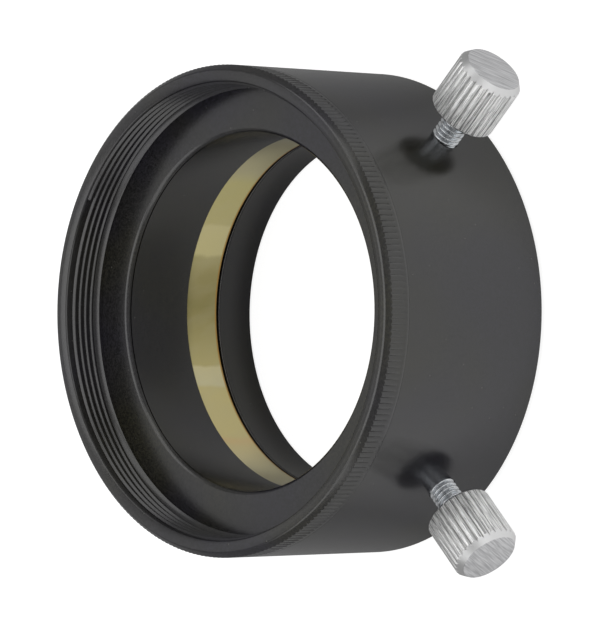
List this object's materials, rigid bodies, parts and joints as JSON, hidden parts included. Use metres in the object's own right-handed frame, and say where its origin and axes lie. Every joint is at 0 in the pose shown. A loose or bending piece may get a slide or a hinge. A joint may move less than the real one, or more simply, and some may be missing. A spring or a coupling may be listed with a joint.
{
  "type": "telescope nosepiece adapter",
  "caption": "Turned metal ring with a fine internal thread at its front, a barrel bore with a split brass clamping ring behind it, and radial thumbscrews that tighten the ring.",
  "frame": {"origin": "centre of the eyepiece face, which is the rear face that the adapter stands on", "axes": "+Z along the optical axis, from the eyepiece face to the threaded mouth; +X midway between the thumbscrews; +Y towards the upper screw's side, which is up in the picture"},
  "size_m": [0.0714, 0.0734, 0.031],
  "materials": {
    "black_anodised_aluminium": "satin black anodised",
    "ring_brass": "turned, slightly dulled",
    "knob_aluminium": "bare, turned and knurled",
    "plated_steel": "bright zinc plated"
  },
  "bodies": {
    "adapter": {"adapter_body": "black_anodised_aluminium", "compression_ring": "ring_brass"},
    "upper_stud": {"upper_screw_stud": "plated_steel"},
    "upper_knob": {"upper_screw_knob": "knob_aluminium"},
    "lower_stud": {"lower_screw_stud": "plated_steel"},
    "lower_knob": {"lower_screw_knob": "knob_aluminium"}
  },
  "joints": [
    {"name": "upper_screw_travel", "type": "slide", "parent": "adapter", "child": "upper_stud", "axis": [0.7071, 0.7071, 0], "range_m": [-0.00058, 0.0063]},
    {"name": "upper_screw_turn", "type": "hinge", "parent": "upper_stud", "child": "upper_knob", "pos_m": [0.02768, 0.02768, 0.01], "axis": [0.7071, 0.7071, 0], "range_deg": [-300, 3241]},
    {"name": "lower_screw_travel", "type": "slide", "parent": "adapter", "child": "lower_stud", "axis": [0.7071, -0.7071, 0], "range_m": [-0.00058, 0.0063]},
    {"name": "lower_screw_turn", "type": "hinge", "parent": "lower_stud", "child": "lower_knob", "pos_m": [0.02768, -0.02768, 0.01], "axis": [0.7071, -0.7071, 0], "range_deg": [-300, 3241]}
  ],
  "couplings": [
    {"joint": "upper_screw_turn", "follows": "upper_screw_travel", "rad_per_m": 8976},
    {"joint": "lower_screw_turn", "follows": "lower_screw_travel", "rad_per_m": 8976}
  ]
}
